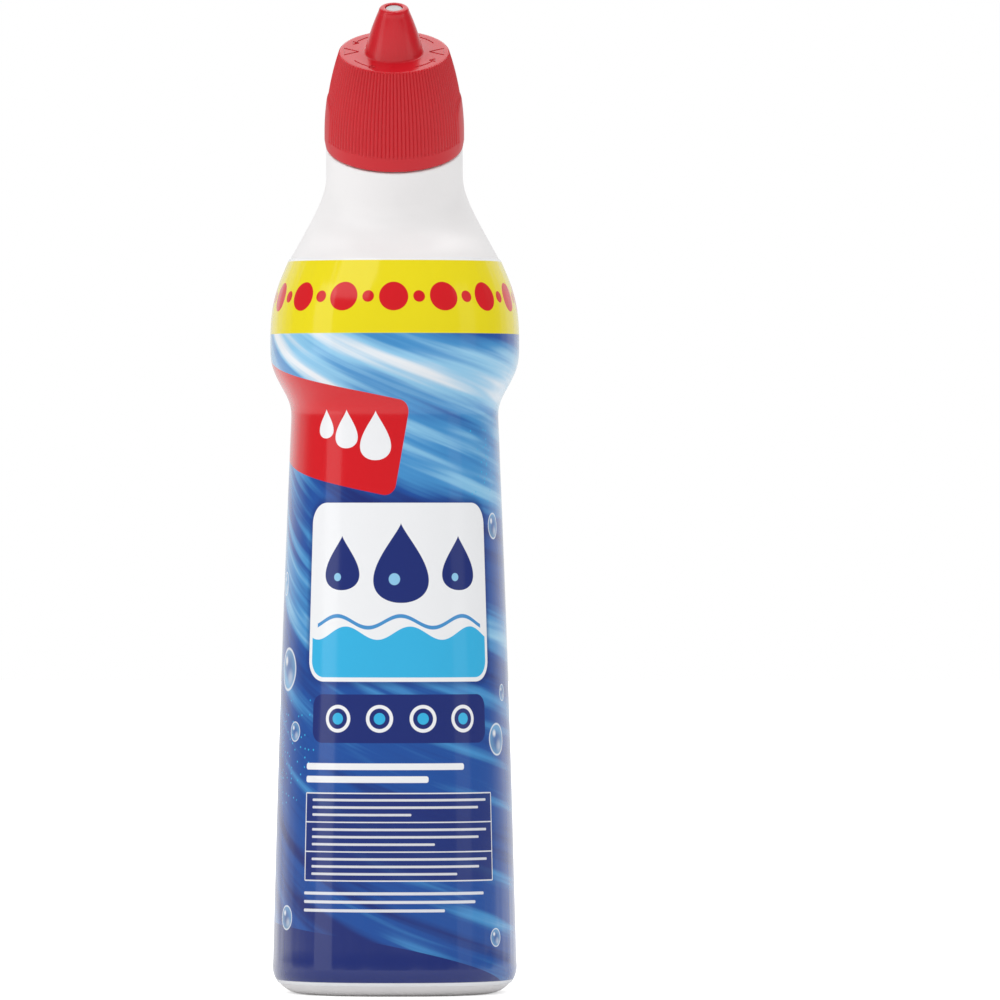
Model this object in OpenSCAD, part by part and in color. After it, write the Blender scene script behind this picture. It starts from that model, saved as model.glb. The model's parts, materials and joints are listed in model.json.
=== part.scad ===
// Squeeze bottle for toilet cleaner: a blown bottle with a neck that leans forward,
// a squirt nozzle pressed into its mouth, a two-piece screw cap that children can't open,
// and a printed film shrunk round the body. Millimetres, +Z up, front towards -Y,
// origin at the middle of the foot, on the surface the bottle stands on.

/* [Bottle body] */
// Width of the bottle at the shoulder, its widest line
shoulder_w = 64.2; // [60:0.1:70]
// Depth of the bottle, front to back, at the same line
shoulder_d = 77.8; // [72:0.1:84]
// Height of the widest line
shoulder_z = 168.7; // [160:0.1:176]
// Width at the grip waist
waist_w = 53.2; // [50:0.1:58]
// Depth at the grip waist
waist_d = 66.8; // [62:0.1:72]
// Height of the bottom of the waist's curve
waist_z = 150.6; // [140:0.1:154]
// Height over which the waist rises into the shoulder
waist_rise = 15.4; // [10:0.1:18]
// Width just above the foot
foot_w = 63.2; // [58:0.1:68]
// Depth just above the foot
foot_d = 76.8; // [70:0.1:82]
// Radius of the rounded edge round the foot
foot_r = 7; // [4:0.1:9]
// Width of the ring that the bottle stands on
stand_w = 2.4; // [1:0.1:4]
// Height that the bottom is pushed up inside the standing ring
push_up = 2.6; // [0:0.1:5]
// Length over which the bottom slopes up to that height
push_run = 5; // [2:0.1:8]
// Squareness of the body's rounded section, where 2 is an oval
body_square = 2.45; // [2:0.05:3]
// How far the body swells past a straight taper between foot and waist, each side
body_swell = 0.4; // [0:0.05:1]
// Thickness of the blown wall
wall = 1.1; // [0.8:0.05:1.6]

/* [Neck] */
// Forward lean of the neck in degrees
neck_lean = 25; // [15:0.5:32]
// Radius of the wide neck under the cap
neck_r = 17.65; // [16.9:0.05:19]
// Height at which the neck's own straight part starts, on its axis
neck_z = 211; // [205:0.1:216]
// Forward set of the neck's axis at that height
neck_set = 10.6; // [6:0.1:12]
// Length of the neck's straight part, up to the land under the cap
neck_len = 8.9; // [5:0.1:12]
// How late the shoulder starts to draw in towards the neck
shoulder_late = 1.35; // [1.1:0.05:1.6]
// Height at which the shoulder starts to lean forward
lean_z = 189.4; // [186:0.1:194]

/* [Mouth] */
// Outer radius of the mouth tube, under its thread
mouth_r = 10.9; // [10.5:0.05:11.1]
// Radius of the bore through the mouth tube
bore_r = 9.2; // [8.8:0.05:9.5]
// Height of the mouth tube above the land
mouth_h = 21.5; // [20:0.1:22]
// How far the thread stands out of the mouth tube
thread_h = 0.8; // [0.4:0.05:0.9]
// Rise of the thread in one turn
thread_pitch = 3.2; // [2.5:0.1:4]
// Turns of thread
thread_turns = 1.5; // [1:0.25:2]
// Height of the thread's lower end above the land
thread_z = 9.5; // [8:0.1:11]
// Height of the two locking lugs on the land
lug_h = 1.8; // [1:0.1:2]
// Length of a locking lug round the land in degrees
lug_span = 26; // [16:1:40]

/* [Overcap] */
// Gap between the land and the cap's lower rim
cap_gap = 0.45; // [0.3:0.05:0.8]
// Largest radius of the overcap
cap_r = 17.8; // [17.6:0.05:18.6]
// Height of the overcap from its rim to its flat top
cap_h = 26.2; // [25.8:0.1:28]
// Radius of the barrel curve up the overcap's side
barrel_r = 72; // [66:1:110]
// Height of the smooth band below the ribs
band_h = 3.4; // [2:0.1:4.5]
// Depth of the grooves between the ribs
groove = 0.4; // [0.2:0.05:0.5]
// Rib spacing, as ribs to a full turn
ribs_round = 106; // [90:1:116]
// Half the width of a smooth squeeze pad in degrees
pad_half = 24; // [18:1:30]
// Height of a squeeze pad
pad_h = 13; // [9:0.1:16]
// How far a squeeze pad stands out past the ribs
pad_out = 0.25; // [0:0.05:0.4]
// Rounding of the edge round the flat top
top_round = 0.7; // [0.3:0.05:1.2]
// Wall of the overcap's side
cap_wall = 1.15; // [0.9:0.05:1.2]
// Thickness of the overcap's flat top
top_t = 1.3; // [1:0.05:1.6]
// Radius of the cone on the overcap where it meets the flat top
cone_r = 7.6; // [7.4:0.05:8.4]
// Radius of the cone near its tip
cone_tip_r = 3.5; // [3.4:0.05:4.2]
// Height of the cone
cone_h = 12.4; // [12:0.1:14]
// Rounding of the cone's tip
cone_round = 0.95; // [0.6:0.05:1]
// Bulge of the cone's side past a straight line
cone_bulge = 0.3; // [0:0.05:0.5]
// Wall of the cone
cone_wall = 1; // [0.8:0.05:1.1]

/* [Inner cap] */
// Outer radius of the threaded sleeve
sleeve_r = 13.05; // [12.9:0.05:13.1]
// Wall of the threaded sleeve
sleeve_t = 0.95; // [0.7:0.05:1]
// Height of the sleeve's lower end above the land
sleeve_z = 2.6; // [2.4:0.1:3.2]
// Radius of the flange at the sleeve's lower end
flange_r = 15.75; // [15.4:0.05:15.8]
// Thickness of that flange
flange_t = 1.3; // [1:0.1:1.8]
// Thickness of the inner cap's top plate
plate_t = 1.2; // [0.9:0.05:1.4]
// Gap between the inner cap's cone and the overcap's cone
cone_gap = 0.3; // [0.2:0.05:0.35]
// Length of the pin that plugs the nozzle
pin_h = 2.6; // [1.5:0.1:3.5]
// Thickness of the sealing washer
washer_t = 1; // [0.8:0.05:1.2]
// Clear height between moving cap pieces that lie over each other
cap_clear = 0.25; // [0.15:0.05:0.3]
// Clear height between the washer and what it lies on
washer_clear = 0.05; // [0.02:0.01:0.1]

/* [Squirt nozzle] */
// Radial clearance of the nozzle's plug in the bore
plug_clear = 0.03; // [0.01:0.01:0.1]
// Length of the plug inside the bore
plug_h = 9; // [6:0.1:12]
// Wall of the nozzle
nozzle_t = 1; // [0.8:0.05:1.1]
// Thickness of the nozzle's flange
rim_t = 1.2; // [0.8:0.05:1.3]
// Radius of the squirt hole
squirt_r = 1.05; // [0.8:0.05:1.2]
// Gap between the spout and the inner cap's cone
spout_gap = 0.45; // [0.3:0.05:0.5]

/* [Printed film] */
// Thickness of the film
film_t = 0.2; // [0.1:0.05:0.4]
// Clearance between the film and the bottle
film_clear = 0.04; // [0.02:0.01:0.1]
// Height of the film's lower edge
film_low = 2.9; // [2.2:0.1:4]
// Height of the film's upper edge
film_top = 189.4; // [180:0.1:189.4]

/* [Hidden] */
$fn = 96;
around = 48;
around_inside = 32;

// The land is the flat ring at the top of the wide neck, on the neck's axis
land_y = -neck_set - neck_len * sin(neck_lean);
land_z = neck_z + neck_len * cos(neck_lean);

// Heights above the land, along the neck's axis
cap_top = cap_gap + cap_h;
rim_top = mouth_h + rim_t;
washer_low = rim_top + washer_clear;
plate_low = washer_low + washer_t + washer_clear;
plate_top = plate_low + plate_t;
cone_top = cap_top + cone_h;
top_low = max(plate_top + cap_clear, cap_top - top_t);
nozzle_tip = cone_top - cone_wall - cone_gap - plate_t - pin_h;

// 0 to 1 with a soft start and end
function soft(t) = let(c = min(max(t, 0), 1)) c * c * (3 - 2 * c);

function mix(a, b, t) = a + (b - a) * t;

// 1 at the widest line, falling to 0 at the neck
function shoulder_share(z) =
    1 - soft(pow(max(0, (z - shoulder_z) / (neck_z - shoulder_z)), shoulder_late));

// 0 at the waist, rising to 1 at the shoulder
waist_power = 1.2;
function waist_share(z) =
    1 - soft(pow(min(1, max(0, (waist_z + waist_rise - z) / waist_rise)), waist_power));

// Half width or half depth of the body at a height, from its foot, waist and shoulder sizes
function body_half(z, foot, waist, shoulder) =
    z >= shoulder_z ? mix(neck_r, shoulder / 2, shoulder_share(z))
    : z >= waist_z ? mix(waist, shoulder, waist_share(z)) / 2
    : let(t = z / waist_z) mix(foot, waist, t) / 2 + 4 * body_swell * t * (1 - t);

function half_w(z) = body_half(z, foot_w, waist_w, shoulder_w);
function half_d(z) = body_half(z, foot_d, waist_d, shoulder_d);
function square_at(z) = mix(2, body_square, shoulder_share(z));
function set_at(z) = neck_set * pow(max(0, (z - shoulder_z) / (neck_z - shoulder_z)), 2);
function lean_at(z) = neck_lean * soft((z - lean_z) / (neck_z - lean_z));

// One point of a rounded section, at t degrees from +X, drawn in by inset
function section(z, t, inset) =
    let(p = 2 / square_at(z), c = cos(t), s = sin(t))
    [(half_w(z) - inset) * sign(c) * pow(abs(c), p),
     (half_d(z) - inset) * sign(s) * pow(abs(s), p)];

// The same point of the outside in space, on a section that leans forward
function skin_point(z, t) =
    let(q = section(z, t, 0), lean = lean_at(z))
    [q[0], q[1] * cos(lean) - set_at(z), z + q[1] * sin(lean)];

// Direction that points straight out of the outside
function skin_out(z, t) =
    let(
        dt = 2,
        dz = 0.3,
        along = skin_point(z, t + dt) - skin_point(z, t - dt),
        up = skin_point(z + dz, t) - skin_point(z - dz, t),
        n = cross(along, up)
    )
    n / norm(n);

// Ring of points on the outside at height z, moved straight out by out
function skin_ring(z, out, count) =
    [for (i = [0:count - 1]) let(t = 360 * i / count) skin_point(z, t) + out * skin_out(z, t)];

function skin_rings(levels, out, count) = [for (z = levels) skin_ring(z, out, count)];

// Level ring near the foot, drawn in by inset
function foot_ring(inset, level, count) =
    [for (i = [0:count - 1]) let(q = section(foot_r, 360 * i / count, inset)) [q[0], q[1], level]];

// Rings of the foot's rounded edge, for a skin that lies inset inside the outside
function foot_rings(inset, count) =
    [for (k = [0:foot_steps])
        let(t = 90 * k / foot_steps, r = foot_r - inset)
        foot_ring(inset + r * (1 - sin(t)), inset + r * (1 - cos(t)), count)];

// Ring on the straight part of the neck, up millimetres along its axis
function neck_ring(inset, up, count) =
    [for (i = [0:count - 1])
        let(
            t = 360 * i / count,
            u = (neck_r - inset) * cos(t),
            v = (neck_r - inset) * sin(t)
        )
        [u,
         v * cos(neck_lean) - neck_set - up * sin(neck_lean),
         neck_z + v * sin(neck_lean) + up * cos(neck_lean)]];

// Closed solid through a list of rings, from the lowest to the highest
module loft(rings, low_mid, top_mid) {
    count = len(rings[0]);
    last = len(rings) - 1;
    flat_points = [for (r = rings) each r];
    points = concat(flat_points, [low_mid, top_mid]);
    low = len(flat_points);
    top = low + 1;
    sides = [for (k = [0:last - 1], i = [0:count - 1])
        let(a = k * count + i, b = k * count + (i + 1) % count)
        each [[a, a + count, b + count], [a, b + count, b]]];
    bottom = [for (i = [0:count - 1]) [low, i, (i + 1) % count]];
    lid = [for (i = [0:count - 1])
        [top, last * count + (i + 1) % count, last * count + i]];
    polyhedron(points, concat(sides, bottom, lid));
}

// Closed solid through a list of rings whose last ring joins the first
module closed_loft(rings) {
    count = len(rings[0]);
    loops = len(rings);
    sides = [for (k = [0:loops - 1], i = [0:count - 1])
        let(
            a = k * count + i,
            b = k * count + (i + 1) % count,
            c = ((k + 1) % loops) * count + i,
            d = ((k + 1) % loops) * count + (i + 1) % count
        )
        each [[a, c, d], [a, d, b]]];
    polyhedron([for (r = rings) each r], sides);
}

// Heights of the rings, closest where the outside curves most
foot_steps = 5;
waist_steps = 8;
shoulder_steps = 6;
lean_steps = 12;
body_levels = [
    for (z = [foot_r + 14:18:waist_z - 8]) z,
    for (k = [0:waist_steps]) waist_z - 2 + (waist_rise + 3) * k / waist_steps
];
shoulder_levels = [for (k = [0:shoulder_steps]) mix(shoulder_z + 1.5, lean_z, k / shoulder_steps)];
lean_levels = [for (k = [1:lean_steps]) mix(lean_z, neck_z, k / lean_steps)];
push_at = foot_r + stand_w;

// Outer form of the bottle up to the land, solid
module bottle_outside() {
    rings = concat(
        [foot_ring(push_at + push_run, push_up, around),
         foot_ring(push_at + push_run / 2, push_up * 0.8, around),
         foot_ring(push_at, 0, around)],
        foot_rings(0, around),
        skin_rings(concat(body_levels, shoulder_levels, lean_levels), 0, around),
        [neck_ring(0, neck_len, around)]
    );
    loft(rings, [0, 0, push_up], [0, land_y, land_z]);
}

// The hollow inside the bottle, up to the underside of the land
module bottle_inside() {
    up = neck_len - wall;
    rings = concat(
        [foot_ring(push_at + push_run, push_up + wall, around_inside),
         foot_ring(push_at, wall, around_inside)],
        foot_rings(wall, around_inside),
        skin_rings(concat(body_levels, shoulder_levels, lean_levels), -wall, around_inside),
        [neck_ring(wall, up, around_inside)]
    );
    loft(
        rings,
        [0, 0, push_up + wall],
        [0, -neck_set - up * sin(neck_lean), neck_z + up * cos(neck_lean)]
    );
}

// Puts what follows on the land, along the neck's axis
module on_neck() {
    translate([0, land_y, land_z]) rotate([neck_lean, 0, 0]) children();
}

// One locking lug on the land: a ramp on one side and a steep face on the other
module lock_lug() {
    lug_in = mouth_r - 0.5;
    lug_out = flange_r - 0.9;
    steps = 6;
    points = concat(
        [for (k = [0:steps]) let(t = lug_span * k / steps) lug_out * [cos(t), sin(t)]],
        [for (k = [steps:-1:0]) let(t = lug_span * k / steps) lug_in * [cos(t), sin(t)]]
    );
    translate([0, 0, -0.3]) linear_extrude(lug_h + 0.3) polygon(points);
}

// Screw thread on the mouth tube: a ridge that climbs one pitch in each turn
module mouth_thread() {
    steps = round(thread_turns * 36);
    root = 0.3;
    half = thread_pitch * 0.3;
    crest = thread_pitch * 0.11;
    fade = 4;
    sections = [for (k = [0:steps])
        let(
            t = 360 * thread_turns * k / steps,
            z = thread_z + thread_pitch * thread_turns * k / steps,
            h = max(0.02, thread_h * min(1, k / fade, (steps - k) / fade)),
            in = mouth_r - root,
            out = mouth_r + h
        )
        [for (q = [[in, -half], [out, -crest], [out, crest], [in, half]])
            [q[0] * cos(t), q[0] * sin(t), z + q[1]]]];
    points = [for (s = sections) each s];
    sides = [for (k = [0:steps - 1], i = [0:3])
        let(a = k * 4 + i, b = k * 4 + (i + 1) % 4)
        each [[a, b, b + 4], [a, b + 4, a + 4]]];
    end = steps * 4;
    polyhedron(points, concat(sides, [[3, 2, 1, 0], [end, end + 1, end + 2, end + 3]]));
}

// Mouth tube with its rounded lip, its thread and the two lugs round it
module mouth() {
    lip = 0.4;
    sink = 0.6;
    rotate_extrude() polygon([
        [bore_r - 0.6, -sink], [mouth_r, -sink], [mouth_r, mouth_h - lip],
        [mouth_r - lip, mouth_h], [bore_r - 0.6, mouth_h]
    ]);
    mouth_thread();
    for (turn = [0, 180]) rotate([0, 0, turn + 90 - lug_span / 2]) lock_lug();
}

// Whole bottle; the bore is turned a little, so that its seam misses the hollow's own edges
module bottle() {
    bore_turn = 3;
    color([0.93, 0.92, 0.92]) difference() {
        union() {
            bottle_outside();
            on_neck() mouth();
        }
        bottle_inside();
        on_neck() rotate([0, 0, bore_turn]) translate([0, 0, -wall - 1])
            cylinder(h = mouth_h + wall + 2, r = bore_r);
    }
}

// Radius of the cone's outside at a height above the flat top, with no rounding
function cone_at(h) =
    let(t = h / cone_h) mix(cone_r, cone_tip_r, t) + 4 * cone_bulge * t * (1 - t);

cone_steps = 6;
// Points up the cone's outside, from its foot to its tip
function cone_side(inset, base, low, high) =
    [for (k = [0:cone_steps])
        let(h = mix(low, high, k / cone_steps)) [cone_at(h) - inset, base + h]];

// Squirt nozzle: plug in the bore, flat flange on the mouth, cone with the squirt hole
module squirt_nozzle() {
    plug_r = bore_r - plug_clear;
    out = cone_wall + cone_gap + cone_wall + spout_gap;
    spout_r = cone_at(0) - out;
    tip_h = nozzle_tip - cap_top;
    tip_r = cone_at(tip_h) - out;
    color([0.9, 0.9, 0.86]) on_neck() rotate_extrude() polygon(concat(
        [[plug_r - 0.4, mouth_h - plug_h], [plug_r, mouth_h - plug_h + 1.2],
         [plug_r, mouth_h], [mouth_r - 0.2, mouth_h], [mouth_r - 0.2, rim_top],
         [spout_r + 0.6, rim_top], [spout_r, rim_top + 0.6]],
        cone_side(out, cap_top, 0, tip_h),
        [[squirt_r, nozzle_tip], [squirt_r, nozzle_tip - 2.5],
         [tip_r - nozzle_t + 0.5, nozzle_tip - 3.5],
         [spout_r - nozzle_t, cap_top - 0.6],
         [spout_r - nozzle_t, mouth_h - 0.2],
         [plug_r - nozzle_t, mouth_h - 0.2],
         [plug_r - nozzle_t, mouth_h - plug_h]]
    ));
}

// Soft washer that seals the nozzle's flange
module seal_washer() {
    color([0.96, 0.96, 0.94]) on_neck() translate([0, 0, washer_low]) difference() {
        cylinder(h = washer_t, r = sleeve_r - sleeve_t - 0.15);
        translate([0, 0, -1]) cylinder(h = washer_t + 2, r = bore_r);
    }
}

// Inner cap: threaded sleeve, top plate, and a cone whose tip shows in the overcap's tip
module inner_cap() {
    out = cone_wall + cone_gap;
    in = out + cone_wall;
    bore = sleeve_r - sleeve_t;
    tip_z = cone_top - 0.35;
    tip_h = tip_z - cap_top;
    tip_r = cone_at(cone_h) - cone_round - cone_wall / 2;
    roof = nozzle_tip + 0.5;
    color([0.8, 0.8, 0.8]) on_neck() rotate_extrude() polygon(concat(
        [[bore, sleeve_z], [flange_r, sleeve_z], [flange_r, sleeve_z + flange_t],
         [sleeve_r, sleeve_z + flange_t + 0.6], [sleeve_r, plate_top - 1],
         [sleeve_r - 1, plate_top], [cone_at(0) - out, plate_top]],
        cone_side(out, cap_top, 0, cone_h - 2.2),
        [[tip_r, tip_z - 0.9], [tip_r, tip_z], [0, tip_z],
         [0, nozzle_tip - pin_h], [squirt_r - 0.35, nozzle_tip - pin_h],
         [squirt_r - 0.1, nozzle_tip - pin_h + 0.5], [squirt_r - 0.1, roof]],
        [for (k = [cone_steps:-1:0])
            let(h = mix(0, roof - cap_top, k / cone_steps)) [cone_at(h) - in, cap_top + h]],
        [[cone_at(0) - in, plate_low], [bore, plate_low]]
    ));
}

// Radius of the overcap's barrel at a height above its rim
function barrel_at(h) = cap_r - pow(max(0, h - band_h), 2) / (2 * barrel_r);

// 1 inside a squeeze pad and 0 on the ribs, with a soft edge
function pad_share(turn, h) =
    let(
        off = min(abs(turn), abs(turn - 180), abs(turn - 360)) / pad_half,
        up = h / pad_h,
        reach = pow(pow(off, 4) + pow(up, 4), 0.25)
    )
    1 - soft((reach - 0.94) / 0.12);

// Ribbed outside of the overcap from its rim to its flat top, solid
module overcap_outside() {
    count = 2 * ribs_round;
    rise = cap_h - top_round;
    rib_levels = [for (k = [0:7]) mix(band_h + 0.9, rise - 0.5, k / 7)];
    levels = concat([0, band_h], rib_levels, [rise]);
    rings = [for (h = levels)
        [for (i = [0:count - 1])
            let(
                turn = 360 * i / count,
                pad = pad_share(turn, h),
                ribbed = h > band_h && h < rise ? 1 : 0,
                low = i % 2 == 0 ? 0 : 1,
                r = barrel_at(h) - groove * (1 - pad) * max(low * ribbed, 1 - ribbed)
                    + pad_out * pad
            )
            [r * cos(turn), r * sin(turn), h]]];
    edge_r = barrel_at(rise) - groove;
    edge = [for (k = [1:3])
        let(t = 30 * k, r = edge_r - top_round * (1 - cos(t)))
        [for (i = [0:count - 1])
            let(turn = 360 * i / count)
            [r * cos(turn), r * sin(turn), rise + top_round * sin(t)]]];
    loft(concat(rings, edge), [0, 0, 0], [0, 0, cap_h]);
}

// Hollow of the overcap's side, with the bead that holds the inner cap
module overcap_inside() {
    inset = groove + cap_wall;
    steps = 6;
    low = sleeve_z - cap_clear;
    top = top_low;
    rotate_extrude() polygon(concat(
        [[0, -1], [barrel_at(0) - inset, -1], [barrel_at(0) - inset, low - 1.1],
         [flange_r - 0.45, low - 0.8], [flange_r - 0.45, low - 0.3],
         [barrel_at(0) - inset, low]],
        [for (k = [0:steps])
            let(z = mix(low + 0.2, top, k / steps)) [barrel_at(z - cap_gap) - inset, z]],
        [[0, top]]
    ));
}

// Overcap: ribbed barrel with two smooth squeeze pads and an open cone on its top
module overcap() {
    hole_r = cone_at(cone_h) - cone_round - cone_wall / 2 + 0.2;
    turns = 4;
    color([0.79, 0.16, 0.2]) on_neck() difference() {
        union() {
            translate([0, 0, cap_gap]) overcap_outside();
            rotate_extrude() polygon(concat(
                [[0, cap_top - 0.6], [cone_at(0) - 0.15, cap_top - 0.6]],
                [[cone_at(0) - 0.15, cap_top + 0.25]],
                [for (k = [1:cone_steps])
                    let(h = mix(0.3, cone_h - cone_round, k / cone_steps))
                    [cone_at(h), cap_top + h]],
                [for (k = [1:turns])
                    let(t = 90 * k / turns, r = cone_at(cone_h - cone_round))
                    [r - cone_round * (1 - cos(t)),
                     cone_top - cone_round * (1 - sin(t))]],
                [[0, cone_top]]
            ));
        }
        overcap_inside();
        rotate_extrude() polygon(concat(
            [[0, top_low - 1], [cone_at(0) - cone_wall, top_low - 1]],
            [for (k = [0:cone_steps])
                let(h = mix(0, cone_h - 1.6, k / cone_steps))
                [cone_at(h) - cone_wall, cap_top + h]],
            [[hole_r, cone_top - 1], [hole_r, cone_top + 1], [0, cone_top + 1]]
        ));
    }
}

// Rings of one side of the film, moved outwards by out, from its lower edge to its upper edge
function film_rings(out) =
    let(start = acos(1 - film_low / foot_r))
    concat(
        [for (k = [0:3])
            let(t = mix(start, 90, k / 3))
            foot_ring(foot_r * (1 - sin(t)) - out, foot_r * (1 - cos(t)), around)],
        skin_rings(body_levels, out, around),
        skin_rings([for (z = shoulder_levels) if (z < film_top - 0.5) z], out, around),
        [skin_ring(film_top, out, around)]
    );

// Film: up the outside, over the upper edge, and down the bottle's own rings
module printed_film() {
    inner = film_rings(film_clear);
    outer = film_rings(film_clear + film_t);
    last = len(inner) - 1;
    rings = concat(outer, [for (k = [last:-1:0]) inner[k]]);
    color([0.16, 0.36, 0.66]) closed_loft(rings);
}

bottle();
squirt_nozzle();
seal_washer();
inner_cap();
overcap();
printed_film();
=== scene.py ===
"""Squeeze bottle for toilet cleaner: bottle, printed shrink film and squeeze-and-turn cap."""

import json
import math

import bpy
import numpy as np
from bpy.props import FloatProperty, FloatVectorProperty, IntProperty, PointerProperty
from bpy.types import Operator, Panel, PropertyGroup
from mathutils import Matrix, Vector


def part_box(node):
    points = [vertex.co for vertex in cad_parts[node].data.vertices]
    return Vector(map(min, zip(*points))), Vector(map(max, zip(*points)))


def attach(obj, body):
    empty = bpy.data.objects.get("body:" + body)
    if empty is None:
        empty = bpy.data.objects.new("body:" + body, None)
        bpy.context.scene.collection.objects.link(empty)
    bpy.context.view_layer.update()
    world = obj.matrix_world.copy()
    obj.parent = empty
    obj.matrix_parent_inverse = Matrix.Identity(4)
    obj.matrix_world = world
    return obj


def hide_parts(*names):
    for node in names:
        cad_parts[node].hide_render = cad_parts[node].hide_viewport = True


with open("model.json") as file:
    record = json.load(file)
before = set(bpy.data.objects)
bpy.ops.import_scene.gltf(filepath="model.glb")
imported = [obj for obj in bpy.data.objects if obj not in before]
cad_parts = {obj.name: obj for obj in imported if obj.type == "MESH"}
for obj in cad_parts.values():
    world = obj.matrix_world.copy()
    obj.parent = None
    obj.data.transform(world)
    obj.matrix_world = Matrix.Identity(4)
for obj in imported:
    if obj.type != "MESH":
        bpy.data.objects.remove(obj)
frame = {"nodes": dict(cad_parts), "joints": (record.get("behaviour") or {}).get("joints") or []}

bl_info = {
    "name": "Squeeze Cleaner Bottle",
    "version": (1, 0, 0),
    "blender": (4, 5, 0),
    "location": "3D View > Sidebar > Bottle",
    "description": "Builds a leaning-neck squeeze bottle with its cap, its film and a photo stage",
    "category": "Add Mesh",
}

MM = 0.001

# The film's print is laid out in millimetres, from the middle of the front and from the floor.
CHART_WIDTH, CHART_HEIGHT = 220, 200
FRONT_X = 2
BUBBLES = (
    (-37, 84, 5.6),
    (-31, 68, 2.6),
    (33, 66, 4.2),
    (38, 78, 2.2),
    (35, 121, 3.4),
    (-43, 106, 3.1),
    (30, 15, 2.4),
    (-33.5, 20, 3.2),
)

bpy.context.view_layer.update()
FILM_LOW, FILM_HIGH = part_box("printed_film")
CAP_JOINT = next(joint for joint in frame["joints"] if joint["name"] == "cap_turn")
NECK_AXIS = Vector(CAP_JOINT["axis"]).normalized()
LAND = Vector(CAP_JOINT["pos_m"])
NECK_LEAN = math.atan2(-NECK_AXIS.y, NECK_AXIS.z)
NECK_FRAME = Matrix.Translation(LAND) @ Matrix.Rotation(NECK_LEAN, 4, "X")


def length(name, description, millimetres):
    """A size that a user can change: given here in millimetres and kept in metres."""
    return FloatProperty(
        name=name,
        description=description,
        default=millimetres * MM,
        min=0,
        unit="LENGTH",
        precision=5,
    )


def ratio(name, description, default):
    """A plain number that a user can change."""
    return FloatProperty(name=name, description=description, default=default, min=0)


def angle(name, description, degrees):
    """An angle that a user can change: given here in degrees and kept in radians."""
    return FloatProperty(
        name=name,
        description=description,
        default=math.radians(degrees),
        subtype="ANGLE",
    )


def linear(red, green, blue):
    """Linear colour of a screen colour whose channels go from 0 to 255."""
    return tuple(
        c / 12.92 if c <= 0.04045 else ((c + 0.055) / 1.055) ** 2.4
        for c in (red / 255, green / 255, blue / 255)
    )


def colour(name, description, red, green, blue):
    """A colour that a user can change, given here as a screen colour."""
    return FloatVectorProperty(
        name=name,
        description=description,
        default=linear(red, green, blue),
        subtype="COLOR",
        min=0,
        max=1,
    )


class BottleSizes(PropertyGroup):
    """Sizes of the blown bottle."""

    shoulder_width: length("Shoulder width", "Width at the widest line", 64.2)
    shoulder_depth: length("Shoulder depth", "Depth at the widest line", 77.8)
    shoulder_height: length("Shoulder height", "Height of the widest line", 168.7)
    waist_width: length("Waist width", "Width at the grip waist", 53.2)
    waist_depth: length("Waist depth", "Depth at the grip waist", 66.8)
    waist_height: length("Waist height", "Height of the bottom of the waist's curve", 150.6)
    waist_rise: length("Waist rise", "Height over which the waist swells to the shoulder", 15.4)
    foot_width: length("Foot width", "Width just above the foot", 63.2)
    foot_depth: length("Foot depth", "Depth just above the foot", 76.8)
    foot_radius: length("Foot radius", "Rounding of the edge round the foot", 7)
    stand_width: length("Standing ring", "Width of the ring that the bottle stands on", 2.4)
    push_up: length("Push-up", "How far the bottom is pushed up inside that ring", 2.6)
    push_run: length("Push-up slope", "Length over which the bottom slopes up", 5)
    swell: length("Swell", "How far the body swells past a straight taper, each side", 0.4)
    squareness: ratio("Squareness", "Squareness of the body's section, where 2 is an oval", 2.45)
    shoulder_late: ratio("Late shoulder", "How late the shoulder draws in to the neck", 1.35)
    wall: length("Wall", "Thickness of the blown wall", 1.1)
    neck_radius: length("Neck radius", "Radius of the wide neck under the cap", 17.65)
    neck_height: length("Neck height", "Height at which the straight neck starts", 211)
    neck_set: length("Neck set", "How far forward the neck's axis is at that height", 10.6)
    neck_length: length("Neck length", "Length of the straight neck, up to the land", 8.9)
    lean_height: length("Lean height", "Height at which the shoulder starts to lean", 189.4)
    land_round: length("Land rounding", "Rounding of the land's outer edge", 0.5)
    mouth_radius: length("Mouth radius", "Outer radius of the mouth tube", 10.9)
    bore_radius: length("Bore radius", "Radius of the bore through the mouth tube", 9.2)
    mouth_height: length("Mouth height", "Height of the mouth tube above the land", 21.5)
    thread_depth: length("Thread depth", "How far the thread stands out", 0.8)
    thread_pitch: length("Thread pitch", "Rise of the thread in one turn", 3.2)
    thread_start: length("Thread start", "Height of the thread's lower end above the land", 9.5)
    thread_turns: ratio("Thread turns", "Turns of thread", 1.5)
    lug_height: length("Lug height", "Height of the two locking lugs", 1.8)
    lug_span: angle("Lug span", "Length of a locking lug round the land", 26)
    seam_height: length("Mould line height", "How far the mould line stands out", 0.05)


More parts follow.
